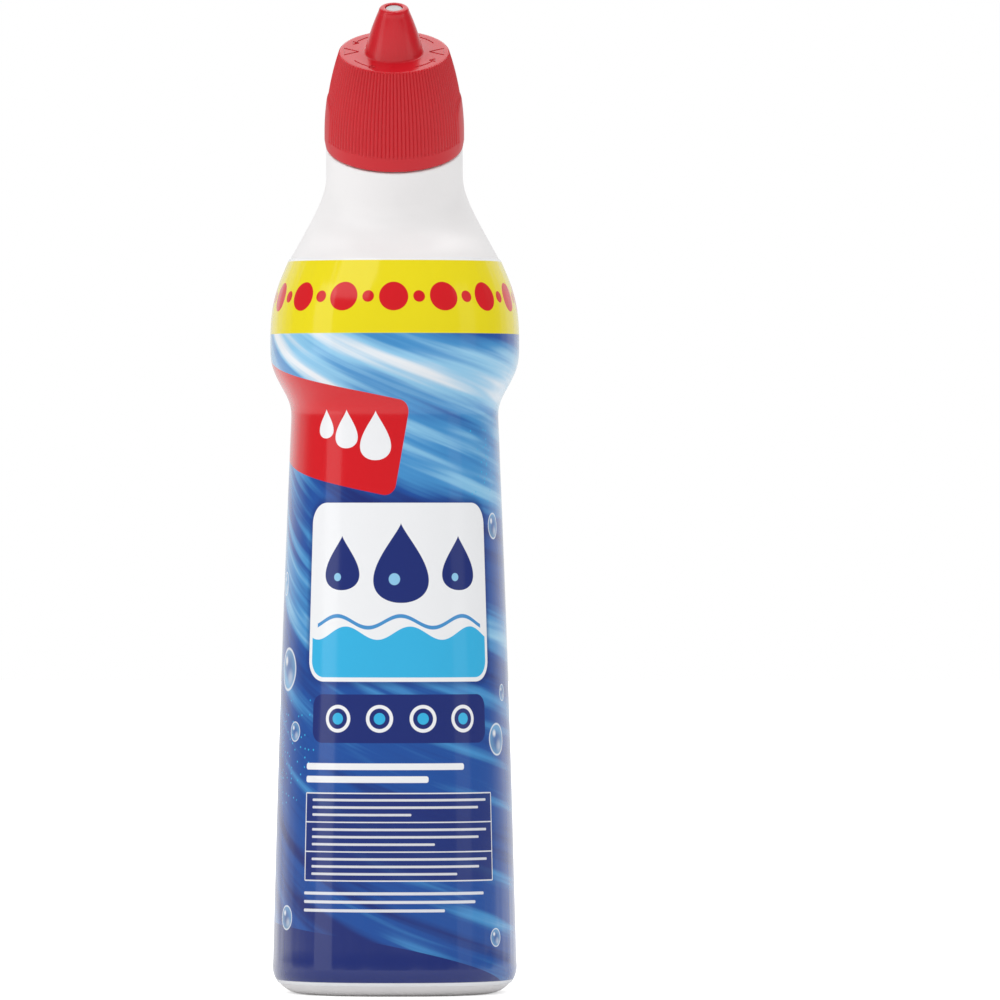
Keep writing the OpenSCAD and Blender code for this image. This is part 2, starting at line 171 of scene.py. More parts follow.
class CapSizes(PropertyGroup):
    """Sizes of the ribbed overcap."""

    gap: length("Gap under the rim", "Gap between the land and the cap's rim", 0.45)
    radius: length("Radius", "Largest radius of the ribs", 17.8)
    height: length("Height", "Height from the rim to the flat top", 26.2)
    barrel: length("Barrel radius", "Radius of the curve up the cap's side", 72)
    band: length("Band height", "Height of the smooth band below the ribs", 3.4)
    groove: length("Groove depth", "Depth of the grooves between the ribs", 0.32)
    run_out: length("Rib run-out", "Length over which a groove ends above the band", 0.6)
    ribs: IntProperty(name="Ribs", description="Ribs to a full turn", default=106, min=12)
    pad_half: angle("Pad half width", "Half the width of a smooth squeeze pad", 24)
    pad_foot: length("Pad foot", "Height of a pad's lower edge above the rim", 0.9)
    pad_height: length("Pad height", "Height of a squeeze pad", 12.8)
    pad_out: length("Pad stand-out", "How far a squeeze pad stands out past the ribs", 0.25)
    top_round: length("Top rounding", "Rounding of the edge round the flat top", 0.4)
    wall: length("Side wall", "Wall of the cap's side", 1.15)
    top_low: length("Underside", "Height of the flat top's underside above the land", 25.35)
    cone_radius: length("Cone foot radius", "Radius of the cone at the flat top", 7.6)
    cone_tip: length("Cone tip radius", "Radius of the cone near its tip", 3.5)
    cone_height: length("Cone height", "Height of the cone", 12.4)
    cone_round: length("Cone rounding", "Rounding of the cone's tip", 0.95)
    cone_bulge: length("Cone bulge", "Bulge of the cone's side past a straight line", 0.3)
    cone_wall: length("Cone wall", "Wall of the cone", 1)
    hole: length("Tip hole radius", "Radius of the hole in the cone's tip", 2.25)
    bead_radius: length("Bead radius", "Inner radius of the bead that holds the inner cap", 15.3)
    bead_height: length("Bead height", "Height of the top of that bead above the land", 2.35)
    mark_radius: length("Mark circle", "Radius of the circle on which the raised marks lie", 11.6)
    mark_size: length("Mark size", "Radius round a raised triangle", 2.5)
    mark_width: length("Mark width", "Width of a raised line on the flat top", 0.26)
    mark_height: length("Mark height", "Height of a raised line on the flat top", 0.035)


class FilmSizes(PropertyGroup):
    """Sizes of the printed shrink film."""

    low: length("Lower edge", "Height of the film's lower edge", FILM_LOW.z / MM)
    high: length("Upper edge", "Height of the film's upper edge", FILM_HIGH.z / MM + 0.6)
    thickness: length("Thickness", "Thickness of the film", 0.2)
    clearance: length("Clearance", "Clearance between the film and the bottle", 0.04)
    wrinkle: length("Wrinkle depth", "Depth of the shrink wrinkles near the edges", 0.11)
    edge_wave: length("Edge wave", "How far the upper edge dips where it was cut", 0.45)
    lap: length("Lap width", "Width of the lap seam at the back", 6)
    lap_step: length("Lap step", "Height of the step at the lap seam", 0.06)


class PrintColours(PropertyGroup):
    """Inks of the printed film."""

    yellow: colour("Band", "Band round the shoulder", 241, 224, 22)
    red: colour("Red", "Ribbon and the beads in the band", 219, 24, 34)
    navy: colour("Navy", "Deep water and the drops", 34, 49, 120)
    royal: colour("Royal blue", "Main water colour", 36, 84, 163)
    middle: colour("Middle blue", "Lighter water", 74, 150, 210)
    pale: colour("Pale blue", "Spray and foam", 146, 204, 238)
    cyan: colour("Cyan", "Wave in the panel", 58, 184, 232)
    white: colour("White", "Panel and highlights", 246, 247, 249)


class StageSizes(PropertyGroup):
    """The photo stage round the bottle."""

    camera_height: length("Camera height", "Height of the camera above the floor", 127.7)
    camera_right: length("Camera offset", "Camera to the right of the bottle's axis", 27.3)
    camera_away: length("Camera distance", "Camera in front of the bottle's axis", 3500)
    view_width: length("View width", "Width of the picture at the bottle", 259.5)
    lamp_power: ratio("Lamp power", "Power of the tall left lamp in watts", 2.2)
    fill: ratio("Fill", "Strength of the even light from all round", 0.8)
    dim_room: ratio("Dim room", "Brightness of the room in front, as a gloss shows it", 0.12)


GROUPS = {
    "bottle_sizes": BottleSizes,
    "cap_sizes": CapSizes,
    "film_sizes": FilmSizes,
    "print_colours": PrintColours,
    "stage_sizes": StageSizes,
}


def soft(share):
    """0 to 1 with a soft start and end."""
    share = np.clip(share, 0, 1)
    return share * share * (3 - 2 * share)


def mix(low, high, share):
    """Value between two others."""
    return low + (high - low) * share


def waves(turn, *parts):
    """Sum of waves round the bottle, each with its size, its count and its phase."""
    return sum(size * np.sin(count * turn + phase) for size, count, phase in parts)


class BodyForm:
    """The bottle's outside as a rule: where a point lies at a height and a direction."""

    waist_power = 1.2

    def __init__(self, sizes):
        self.s = sizes

    def rise(self, z):
        s = self.s
        return np.maximum(0, (z - s.shoulder_height) / (s.neck_height - s.shoulder_height))

    def shoulder_share(self, z):
        return 1 - soft(self.rise(z) ** self.s.shoulder_late)

    def half(self, z, foot, waist, shoulder):
        """Half width or half depth at a height, with the crease at the waist eased off."""
        s = self.s
        reach = 2.2 * MM
        total = 0
        weights = (1, 2, 3, 2, 1)
        for step, weight in zip(np.linspace(-reach, reach, len(weights)), weights):
            h = z + step
            up = h / s.waist_height
            taper = mix(foot, waist, up) / 2 + 4 * s.swell * up * (1 - up)
            drop = np.clip((s.waist_height + s.waist_rise - h) / s.waist_rise, 0, 1)
            grip = mix(waist, shoulder, 1 - soft(drop**self.waist_power)) / 2
            draw = mix(s.neck_radius, shoulder / 2, self.shoulder_share(h))
            below = np.where(h < s.waist_height, taper, grip)
            total = total + weight * np.where(h < s.shoulder_height, below, draw)
        return total / sum(weights)

    def section(self, z, turn, inset=0.0):
        """Rounded section at a height, drawn in by inset."""
        s = self.s
        power = 2 / mix(2, s.squareness, self.shoulder_share(z))
        c, n = np.cos(turn), np.sin(turn)
        wide = self.half(z, s.foot_width, s.waist_width, s.shoulder_width) - inset
        deep = self.half(z, s.foot_depth, s.waist_depth, s.shoulder_depth) - inset
        return (
            wide * np.sign(c) * np.abs(c) ** power,
            deep * np.sign(n) * np.abs(n) ** power,
        )

    def point(self, z, turn):
        """Point of the outside, on a section that leans forward above the shoulder."""
        s = self.s
        x, y = self.section(z, turn)
        lean = NECK_LEAN * soft((z - s.lean_height) / (s.neck_height - s.lean_height))
        back = s.neck_set * self.rise(z) ** 2
        parts = np.broadcast_arrays(x, y * np.cos(lean) - back, z + y * np.sin(lean))
        return np.stack(parts, axis=-1)

    def skin(self, z, turn, out=0.0):
        """Points at a distance out from the outside, along its own normals."""
        step_turn = math.radians(1.5)
        step_up = 0.3 * MM
        along = self.point(z, turn + step_turn) - self.point(z, turn - step_turn)
        up = self.point(z + step_up, turn) - self.point(z - step_up, turn)
        normal = np.cross(along, up)
        normal /= np.linalg.norm(normal, axis=-1, keepdims=True)
        return self.point(z, turn) + np.asarray(out)[..., None] * normal

    def foot(self, inset, level, turn):
        """Level rings near the foot, drawn in by inset."""
        x, y = self.section(self.s.foot_radius, turn, inset)
        return np.stack(np.broadcast_arrays(x, y, level), axis=-1)

    def foot_curve(self, depth, first, count, turn):
        """Rings of the foot's rounded edge, for a skin that lies depth inside the outside."""
        r = self.s.foot_radius - depth
        bend = np.linspace(first, math.pi / 2, count)[:, None]
        return self.foot(
            depth + r * (1 - np.sin(bend)), depth + r * (1 - np.cos(bend)) + 0 * turn, turn
        )


def directions(count):
    """Angles round the bottle, from the middle of the back."""
    return (math.pi / 2 + 2 * math.pi * np.arange(count) / count)[None, :]


def lathe(profile, count):
    """Rings of points for a list of radii and heights, turned about Z."""
    turn = directions(count)
    radius, height = np.array(profile).T[..., None]
    return np.stack(
        np.broadcast_arrays(radius * np.cos(turn), radius * np.sin(turn), height), axis=-1
    )


def moved(rings, matrix):
    """The same rings, in the space that a matrix gives."""
    return rings @ np.array(matrix.to_3x3()).T + np.array(matrix.translation)


def arc(middle, radius, first, last, count):
    """Points of an arc in a profile, with its angles in degrees."""
    turns = np.radians(np.linspace(first, last, count))
    return [(middle[0] + radius * math.cos(t), middle[1] + radius * math.sin(t)) for t in turns]


def ring_mesh(name, rings, loop=False, start=None, end=None, chart=None):
    """Mesh through rings of points: the last ring joins the first, or each end closes on a point.

    A chart gives each ring's print coordinates, with one more column than the ring has points.
    """
    loops, around, _ = rings.shape
    row = np.arange(around)
    step = np.roll(row, -1)
    lower = np.arange(loops if loop else loops - 1) * around
    upper = (lower + around) % (loops * around)
    quads = np.stack(
        [lower[:, None] + row, lower[:, None] + step, upper[:, None] + step, upper[:, None] + row],
        axis=-1,
    ).reshape(-1, 4)
    points = rings.reshape(-1, 3).tolist()
    faces = quads.tolist()
    if start is not None:
        points.append(tuple(start))
        faces += [(len(points) - 1, int(b), int(a)) for a, b in zip(row, step)]
    if end is not None:
        points.append(tuple(end))
        top = (loops - 1) * around
        faces += [(top + int(a), top + int(b), len(points) - 1) for a, b in zip(row, step)]
    mesh = bpy.data.meshes.new(name)
    mesh.from_pydata(points, [], faces)
    if chart is not None:
        layer = mesh.uv_layers.new(name="print")
        above = np.roll(chart, -1, axis=0)[: len(lower)]
        below = chart[: len(lower)]
        corners = np.stack([below[:, :-1], below[:, 1:], above[:, 1:], above[:, :-1]], axis=2)
        layer.data.foreach_set("uv", corners.reshape(-1).astype(np.float32))
    mesh.shade_smooth()
    mesh.set_sharp_from_angle(angle=math.radians(38))
    return mesh


def place(name, mesh, body, slot, *nodes):
    """Puts a finished mesh in the scene as a piece of the object."""
    piece = bpy.data.objects.new(name, mesh)
    mesh.name = name
    bpy.context.scene.collection.objects.link(piece)
    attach(piece, body)
    if nodes:
        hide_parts(*nodes)
    return piece


def method(operation):
    """Method of a field that adds a math node of one kind."""
    return lambda field, *others: field.maths(operation, *others)


class Field:
    """A value in a node tree: sums and products of fields add the nodes that work them out."""

    def __init__(self, tree, socket):
        self.tree = tree
        self.socket = socket

    def maths(self, operation, *others):
        inputs = dict(enumerate((self, *others)))
        return node_of(self.tree, "ShaderNodeMath", inputs, operation=operation)

    __add__ = __radd__ = method("ADD")
    __sub__ = method("SUBTRACT")
    __mul__ = __rmul__ = method("MULTIPLY")
    __truediv__ = method("DIVIDE")
    __pow__ = method("POWER")
    __abs__ = method("ABSOLUTE")
    lowest = method("MINIMUM")
    highest = method("MAXIMUM")
    root = method("SQRT")
    sine = method("SINE")
    cosine = method("COSINE")
    heading = method("ARCTAN2")
    floor = method("FLOOR")
    fraction = method("FRACT")
    sign = method("SIGN")

    def __rsub__(self, other):
        return (self * -1) + other

    def rising(self, low, high, first=0.0, last=1.0):
        """Soft step from first to last as the value goes from low to high."""
        inputs = dict(enumerate((self, low, high, first, last)))
        return node_of(self.tree, "ShaderNodeMapRange", inputs, interpolation_type="SMOOTHSTEP")


def feed(tree, socket, value):
    """Links a socket to a field, or sets it to a plain value."""
    if isinstance(value, Field):
        tree.links.new(value.socket, socket)
    else:
        socket.default_value = value


def node_of(tree, kind, inputs=None, output=0, **settings):
    """New node with its settings and its inputs, as the field of one of its outputs."""
    node = tree.nodes.new(kind)
    for key, value in settings.items():
        setattr(node, key, value)
    for key, value in (inputs or {}).items():
        feed(tree, node.inputs[key], value)
    return Field(tree, node.outputs[output])


def vector_of(tree, x, y, z=0.0):
    """Vector made of three values."""
    return node_of(tree, "ShaderNodeCombineXYZ", {"X": x, "Y": y, "Z": z})


def parts_of(tree, vector):
    """The three values of a vector."""
    first = node_of(tree, "ShaderNodeSeparateXYZ", {0: vector})
    return [Field(tree, socket) for socket in first.socket.node.outputs]


def size_of(tree, x, y):
    """Distance of a point from the middle of its own space."""
    point = {0: vector_of(tree, x, y)}
    return node_of(tree, "ShaderNodeVectorMath", point, "Value", operation="LENGTH")


def noise(tree, vector, scale, detail=2.0, roughness=0.5, distortion=0.0):
    """Soft noise round 0.5, with its features one over scale apart."""
    return node_of(tree, "ShaderNodeTexNoise", {
        "Vector": vector,
        "Scale": scale,
        "Detail": detail,
        "Roughness": roughness,
        "Distortion": distortion,
    }, "Fac")


def over(tree, lower, upper, mask):
    """One colour laid over another where the mask is 1."""
    below, above = (c if isinstance(c, Field) else (*c, 1.0) for c in (lower, upper))
    inputs = {0: mask, 6: below, 7: above}
    return node_of(tree, "ShaderNodeMix", inputs, 2, data_type="RGBA", clamp_factor=True)


def bumped(tree, height, distance):
    """Normal of a surface whose height, in units of distance, is a field."""
    return node_of(tree, "ShaderNodeBump", {"Distance": distance, "Height": height}, "Normal")


class Finish:
    """A material with its surface shader and its object coordinates in metres."""

    def __init__(self, name, **constants):
        self.material = bpy.data.materials.new(name)
        self.material.use_nodes = True
        self.tree = self.material.node_tree
        self.shader = self.tree.nodes["Principled BSDF"]
        for key, value in constants.items():
            self.set(key.replace("_", " ").title().replace("Ior", "IOR"), value)
        self.coordinates = self.tree.nodes.new("ShaderNodeTexCoord")

    def set(self, name, value):
        feed(self.tree, self.shader.inputs[name], value)

    def place(self):
        return Field(self.tree, self.coordinates.outputs["Object"])

    def chart(self):
        return Field(self.tree, self.coordinates.outputs["UV"])


def plastic(name, tint, roughness, grain, grain_size, mottle=0.02, **constants):
    """Moulded plastic: a tint with faint clouds, an uneven sheen and a fine skin texture."""
    clouds_a_metre, uneven = 45, 0.1
    finish = Finish(name, **constants)
    tree = finish.tree
    clouds = noise(tree, finish.place(), clouds_a_metre, detail=3)
    darker = tuple(c * (1 - mottle) for c in tint)
    finish.set("Base Color", over(tree, darker, tint, clouds.rising(0.35, 0.65)))
    sheen = clouds.rising(0.3, 0.7, roughness * (1 - uneven), roughness * (1 + uneven))
    finish.set("Roughness", sheen)
    skin = noise(tree, finish.place(), 1 / grain_size, detail=1.5)
    finish.set("Normal", bumped(tree, skin, grain))
    return finish


def blown_polyethylene():
    """White blown polyethylene, satin, with a soft orange-peel skin."""
    return plastic(
        "blown_polyethylene",
        linear(243, 241, 241),
        roughness=0.36,
        grain=0.02 * MM,
        grain_size=1.6 * MM,
        mottle=0.015,
        specular_ior_level=0.45,
    ).material


def red_polypropylene():
    """Red polypropylene: satin on the ribbed side, glossier on the flat top and the cone."""
    satin, glossier, uneven = 0.4, 0.2, 0.04
    finish = plastic(
        "red_polypropylene",
        linear(205, 26, 38),
        roughness=satin,
        grain=0.006 * MM,
        grain_size=0.5 * MM,
        mottle=0.04,
        specular_ior_level=0.45,
    )
    tree = finish.tree
    caps = bpy.context.scene.cap_sizes
    inputs = {0: finish.place(), 1: NECK_AXIS}
    along = node_of(tree, "ShaderNodeVectorMath", inputs, "Value", operation="DOT_PRODUCT")
    above = along - NECK_AXIS.dot(LAND)
    top = caps.gap + caps.height
    deck = above.rising(top - 0.5 * MM, top - 0.1 * MM)
    clouds = noise(tree, finish.place(), 60, detail=2)
    sheen = clouds.rising(0.3, 0.7, satin - uneven, satin + uneven)
    finish.set("Roughness", deck * -glossier + sheen)
    return finish.material


def white_polypropylene_painted_shade():
    """Inner cap's polypropylene: white plastic tinted light grey, as painted shade inside the
    cone's tip.
    """
    return plastic(
        "white_polypropylene_painted_shade",
        # painted shade: white plastic greyed to how dark it looks deep in the cone's tip
        linear(196, 196, 197),
        roughness=0.42,
        grain=0.008 * MM,
        grain_size=0.6 * MM,
    ).material


def natural_polyethylene():
    """Milky natural polyethylene of the squirt nozzle."""
    return plastic(
        "natural_polyethylene",
        linear(232, 231, 224),
        roughness=0.34,
        grain=0.01 * MM,
        grain_size=0.8 * MM,
    ).material


def foamed_polyethylene():
    """Matt foamed liner of the washer, with small closed cells."""
    cells_a_metre, cell_depth = 2600, 0.05 * MM
    finish = plastic(
        "foamed_polyethylene",
        linear(240, 240, 236),
        roughness=0.7,
        grain=0.02 * MM,
        grain_size=0.5 * MM,
    )
    inputs = {"Vector": finish.place(), "Scale": cells_a_metre}
    cells = node_of(finish.tree, "ShaderNodeTexVoronoi", inputs, "Distance", feature="F1")
    finish.set("Normal", bumped(finish.tree, cells, cell_depth))
    return finish.material


class Artwork:
    """Lays simple printed shapes over each other on the film's own chart, in millimetres."""

    edge = 0.09

    def __init__(self, tree, across, up, inks):
        self.tree = tree
        self.across = across
        self.up = up
        self.inks = inks
        self.ink = water(tree, across, up, inks)

    def space(self, x, z, tilt=0.0):
        """Coordinates about a point, turned by tilt degrees."""
        dx = self.across - x
        dz = self.up - z
        if tilt == 0:
            return dx, dz
        c, s = math.cos(math.radians(tilt)), math.sin(math.radians(tilt))
        return dx * c + dz * s, dz * c - dx * s

    def disc(self, x, z, radius):
        """How far a point lies outside a disc."""
        return size_of(self.tree, *self.space(x, z)) - radius

    def block(self, x, z, width, height, corner, tilt=0.0):
        """How far a point lies outside a block with rounded corners."""
        dx, dz = self.space(x, z, tilt)
        over_x = abs(dx) - (width / 2 - corner)
        over_z = abs(dz) - (height / 2 - corner)
        outer = size_of(self.tree, over_x.highest(0), over_z.highest(0))
        return outer + over_x.highest(over_z).lowest(0) - corner

    def bar(self, left, z, width, height, corner):
        """How far a point lies outside a block that is placed by its left end."""
        return self.block(left + width / 2, z, width, height, corner)

    def drop(self, x, z, width, height):
        """How far a point lies outside a water drop, sideways."""
        widest, taper = 1 / 1.3, 0.75
        dx, dz = self.space(x, z)
        level = (dz / (height / 2)).highest(-1).lowest(1)
        belly = (1 - level * level).highest(0).root() * ((1 - level) / 2) ** taper
        return (abs(dx) - belly * (width * widest)).highest(abs(dz) - height / 2)

    def mask(self, outside, strength=1.0):
        """The strength inside a shape and 0 outside, with a fine soft edge."""
        return outside.rising(-self.edge, self.edge, strength, 0.0)

    def lay(self, ink, mask):
        """Lays an ink where a mask is above 0."""
        self.ink = over(self.tree, self.ink, getattr(self.inks, ink), mask)

    def print(self, ink, outside, strength=1.0):
        """Prints a shape, given by how far a point lies outside it."""
        self.lay(ink, self.mask(outside, strength))


def water(tree, across, up, inks):
    """Blue water with streaks of light that sweep down to the right."""
    slope, bend, drift = 0.42, 0.0035, 0.3
    past_streak = up + across * slope - across * across * bend
    along = across - up * drift
    broad = noise(tree, vector_of(tree, along * 0.006, past_streak * 0.045), 1.0, 3, 0.55, 0.25)
    fine = noise(tree, vector_of(tree, along * 0.009 + 7, past_streak * 0.16), 1.0, 3, 0.6, 0.2)
    light = broad * 0.66 + fine * 0.34
    level = light + up.rising(20, 175, -0.035, 0.085)
    ink = over(tree, inks.navy, inks.royal, level.rising(0.36, 0.49))
    ink = over(tree, ink, inks.middle, level.rising(0.5, 0.58))
    ink = over(tree, ink, inks.pale, level.rising(0.57, 0.64))
    return over(tree, ink, inks.white, level.rising(0.63, 0.72, 0.0, 0.9))


def bubble(art, x, z, radius):
    """Clear bubble: a pale tint, a bright rim, a small highlight and a soft glow opposite."""
    outside = art.disc(x, z, radius)
    art.lay("pale", outside.rising(-radius * 0.9, 0, 0.12, 0.5) * art.mask(outside))
    art.lay("white", abs(outside + radius * 0.05).rising(0, radius * 0.1, 0.85, 0.0))
    shine = art.disc(x - radius * 0.34, z + radius * 0.38, radius * 0.2)
    art.lay("white", shine.rising(-radius * 0.15, radius * 0.12, 0.95, 0.0))
    glow = art.disc(x + radius * 0.3, z - radius * 0.38, radius * 0.35)
    art.lay("white", glow.rising(-radius * 0.3, radius * 0.2, 0.4, 0.0))


def sparkles(art, x, z, reach):
    """Patch of tiny cyan specks, thinner towards its edge."""
    cells_a_millimetre, densest = 0.62, 0.55
    cells = node_of(art.tree, "ShaderNodeTexVoronoi", {
        "Vector": vector_of(art.tree, art.across, art.up),
        "Scale": cells_a_millimetre,
    }, "Distance", feature="F1", voronoi_dimensions="2D")
    specks = cells.rising(0.1, 0.2, 1.0, 0.0)
    chance = parts_of(art.tree, Field(art.tree, cells.socket.node.outputs["Color"]))[0]
    patch = art.disc(x, z, reach).rising(-reach, 0, densest, 0.0)
    art.lay("cyan", specks * (chance - (1 - patch)).rising(0, 0.05))


def front_ribbon(art):
    """Red ribbon that falls to the right, with three white drops that grow along it."""
    drops_x, drops_z, slope, tallness = -13, 145.8, 0.194, 3.1
    art.print("red", art.block(x=-30, z=147, width=66, height=25, corner=3.2, tilt=-11))
    for x, radius in ((-20.6, 2.4), (-13.8, 3.2), (-5.2, 4.1)):
        z = drops_z - slope * (x - drops_x)
        art.print("white", art.drop(x, z, width=radius * 2, height=radius * tallness))


def front_panel(art):
    """White panel in a soft shadow, with three navy drops over a wave and its crest."""
    shadow, ripples, border, crest_border = 2.2, 0.36, 1.1, 3
    panel = art.block(x=FRONT_X, z=104, width=54, height=46, corner=5.5)
    art.lay("navy", panel.rising(0, shadow, 0.55, 0.0))
    art.print("white", panel)
    wave = art.up - (93.5 + 1.7 * (art.across * ripples).sine())
    art.print("cyan", (panel + border).highest(wave))
    crest = abs(art.up - (96.4 + 1.5 * (art.across * ripples + 0.9).sine())) - 0.5
    art.print("middle", (panel + crest_border).highest(crest))
    for x, width, tall in ((-14.5, 9.5, 14), (FRONT_X, 14, 20.5), (18.5, 9.5, 14)):
        art.print("navy", art.drop(x, z=111.5, width=width, height=tall))
        art.print("pale", art.disc(x - width * 0.13, 109 - tall * 0.08, radius=width * 0.11))


def ringed_discs(art):
    """Navy bar with a row of four ringed discs."""
    row_z, ring_half = 71.5, 0.45
    art.print("navy", art.block(x=FRONT_X, z=row_z, width=50, height=12.5, corner=3.2))
    for x in (-15, -3.7, 7.7, 19):
        art.print("white", abs(art.disc(x, row_z, radius=3.1)) - ring_half)
        art.print("cyan", art.disc(x, row_z, radius=1.5))


def bars_and_table(art):
    """Two bold bars, a ruled table of three cells with three lines each, and three fine bars."""
    wide = 54
    left = FRONT_X - wide / 2
    for row, width in enumerate((44, 34)):
        art.print("white", art.bar(left, 59.2 - row * 3.3, width, height=1.7, corner=0.6))
    top, cell, cells, indent, line_step, rule_half = 52.5, 7.6, 3, 2.5, 1.9, 0.16
    table = art.block(FRONT_X, top - cell * cells / 2, wide, cell * cells, corner=0.4)
    art.print("navy", table, 0.9)
    art.print("white", abs(table + rule_half) - rule_half, 0.9)
    for row in range(cells):
        z = top - (row + 0.5) * cell
        if row:
            rule = art.block(FRONT_X, z + cell / 2, wide, height=0.3, corner=0.1)
            art.print("white", rule, 0.9)
        for step, width in ((1, 49), (0, 46), (-1, 27 + 6 * row)):
            line = art.bar(left + indent, z + step * line_step, width, height=0.62, corner=0.25)
            art.print("white", line, 0.8)
    for row, width in enumerate((50, 47, 38)):
        line = art.bar(left, 26.6 - row * 2.2, width, height=0.75, corner=0.3)
        art.print("white", line, 0.85)


def back_panels(art):
    """Plain strip down the seam at the back, with a ruled white panel on each side of it."""
    seam_half, wide, margin, row_tall, line_half, ragged = 7, 50, 4, 4.2, 0.34, 16
    art.print("royal", CHART_WIDTH / 2 - seam_half - abs(art.across))
    panel_x = CHART_WIDTH / 2 - 35
    right, left = (
        art.block(x, z=84, width=wide, height=112, corner=3) for x in (panel_x, -panel_x)
    )
    panels = right.lowest(left)
    art.print("white", panels)
    rows = art.up / row_tall
    lines = abs(rows.fraction() - 0.5) * row_tall - line_half
    side = (art.across * 1000).sign()
    seed = {"W": rows.floor() + side * 0.3}
    chance = node_of(
        art.tree, "ShaderNodeTexWhiteNoise", seed, "Value", noise_dimensions="1D"
    )
    from_left = art.across - side * panel_x + wide / 2
    past_end = from_left - (wide - margin - chance.rising(0.35, 0.9) * ragged)
    art.print("middle", lines.highest(past_end).highest(panels + margin))


def bead_band(art, top):
    """Yellow band round the shoulder, with a row of large and small red beads."""
    low, beads, sag, large_radius, small_radius = 170.6, 17, 0.3, 3.7, 1.5
    art.print("yellow", low - art.up)
    level = art.up - ((top + low) / 2 - sag)
    pitch = CHART_WIDTH / beads
    steps = art.across / pitch
    large = size_of(art.tree, ((steps + 0.5).fraction() - 0.5) * pitch, level) - large_radius
    small = size_of(art.tree, (steps.fraction() - 0.5) * pitch, level) - small_radius
    art.print("red", large.lowest(small))


def printed_film():
    """Glossy shrink film printed on its own chart, with soft wrinkles in its gloss."""
    sizes = bpy.context.scene.film_sizes
    finish = Finish(
        "printed_shrink_film",
        roughness=0.16,
        specular_ior_level=0.4,
        coat_weight=0.3,
        coat_roughness=0.08,
    )
    tree = finish.tree
    share, height, _ = parts_of(tree, finish.chart())
    across = (share - 0.5) * CHART_WIDTH
    up = height * CHART_HEIGHT
    top, low = sizes.high / MM, sizes.low / MM

    art = Artwork(tree, across, up, bpy.context.scene.print_colours)
    sparkles(art, -36, 62, 22)
    sparkles(art, 34, 138, 16)
    art.print("navy", up - (across * across * -0.002 + 13 - across * 0.21))
    front_ribbon(art)
    front_panel(art)
    ringed_discs(art)
    for x, z, radius in BUBBLES:
        bubble(art, x, z, radius)
    bars_and_table(art)
    back_panels(art)
    bead_band(art, top)
    bare_edge = 0.75
    art.print("white", top - bare_edge - up)
    art.print("white", up - low - bare_edge)
    finish.set("Base Color", art.ink)

    pull = noise(tree, vector_of(tree, across * 0.035, up * 0.012), 1.0)
    gather = noise(tree, vector_of(tree, across * 0.3, up * 0.03), 1.0)
    near_edge = abs(up - (top + low) / 2).rising(60, 95, 0.12, 1.0)
    wrinkle_depth = 0.1 * MM
    finish.set("Normal", bumped(tree, pull * 6 + gather * near_edge, wrinkle_depth))
    return finish.material


class BOTTLE_OT_blown_bottle(Operator):
    """Blown bottle with its leaning neck and mouth tube, hollow inside"""

    bl_idname = "bottle.blown_bottle"
    bl_label = "Blown bottle"

    def execute(self, context):
        s = context.scene.bottle_sizes
        form = BodyForm(s)
        turn = directions(192)
        flat = np.zeros_like(turn)
        push = s.foot_radius + s.stand_width
        slope = ((2, 1), (1, 1), (0.75, 0.93), (0.5, 0.8), (0.25, 0.4), (0, 0))
        bottom = [
            form.foot(push + s.push_run * far, s.push_up * up + flat, turn) for far, up in slope
        ]
        grip = s.waist_height - 6 * MM
        heights = np.concatenate([
            np.arange(s.foot_radius + 2 * MM, grip, 4 * MM),
            np.arange(grip, s.neck_height, 1.25 * MM),
            [s.neck_height],
        ])[:, None]
        front = np.abs(np.sin(turn)) > np.cos(math.radians(0.5))
        open_above = soft((heights - FILM_HIGH.z) / (1.5 * MM))
        outside = form.skin(heights, turn, s.seam_height * front * open_above)
        lip, ease = 0.4 * MM, 0.5 * MM
        edge = s.neck_radius - s.land_round
        mouth = lathe(
            [(s.neck_radius, -s.neck_length / 2)]
            + arc((edge, -s.land_round), s.land_round, 0, 90, 5)
            + [(s.mouth_radius + ease * 2, 0)]
            + arc((s.mouth_radius + ease, ease), ease, 270, 180, 4)
            + [(s.mouth_radius, s.mouth_height - lip)]
            + arc((s.mouth_radius - lip, s.mouth_height - lip), lip, 0, 90, 5)
            + [(s.bore_radius + lip / 2, s.mouth_height)]
            + [(s.bore_radius, s.mouth_height - lip / 2), (s.bore_radius, -s.wall)],
            turn.shape[1],
        )
        under = lathe([(s.neck_radius - s.wall, -s.wall)], turn.shape[1])
        bottom_inside = [
            form.foot(push + s.push_run * far, s.wall + s.push_up * up + flat, turn)
            for far, up in ((0, 0), (1, 1), (2, 1))
        ]
        rings = np.concatenate([
            np.concatenate(bottom),
            form.foot_curve(0, 0, 14, turn)[1:],
            outside,
            moved(mouth, NECK_FRAME),
            moved(under, NECK_FRAME),
            form.skin(heights[::-2], turn, np.array(-s.wall)),
            form.foot_curve(s.wall, 0, 6, turn)[::-1],
            np.concatenate(bottom_inside),
        ])
        first, last = (0, 0, s.push_up), (0, 0, s.push_up + s.wall)
        mesh = ring_mesh("blown_bottle", rings, start=first, end=last)
        mesh.materials.append(blown_polyethylene())
        place("blown_bottle", mesh, "bottle", "white_bottle", "bottle")
        return {"FINISHED"}


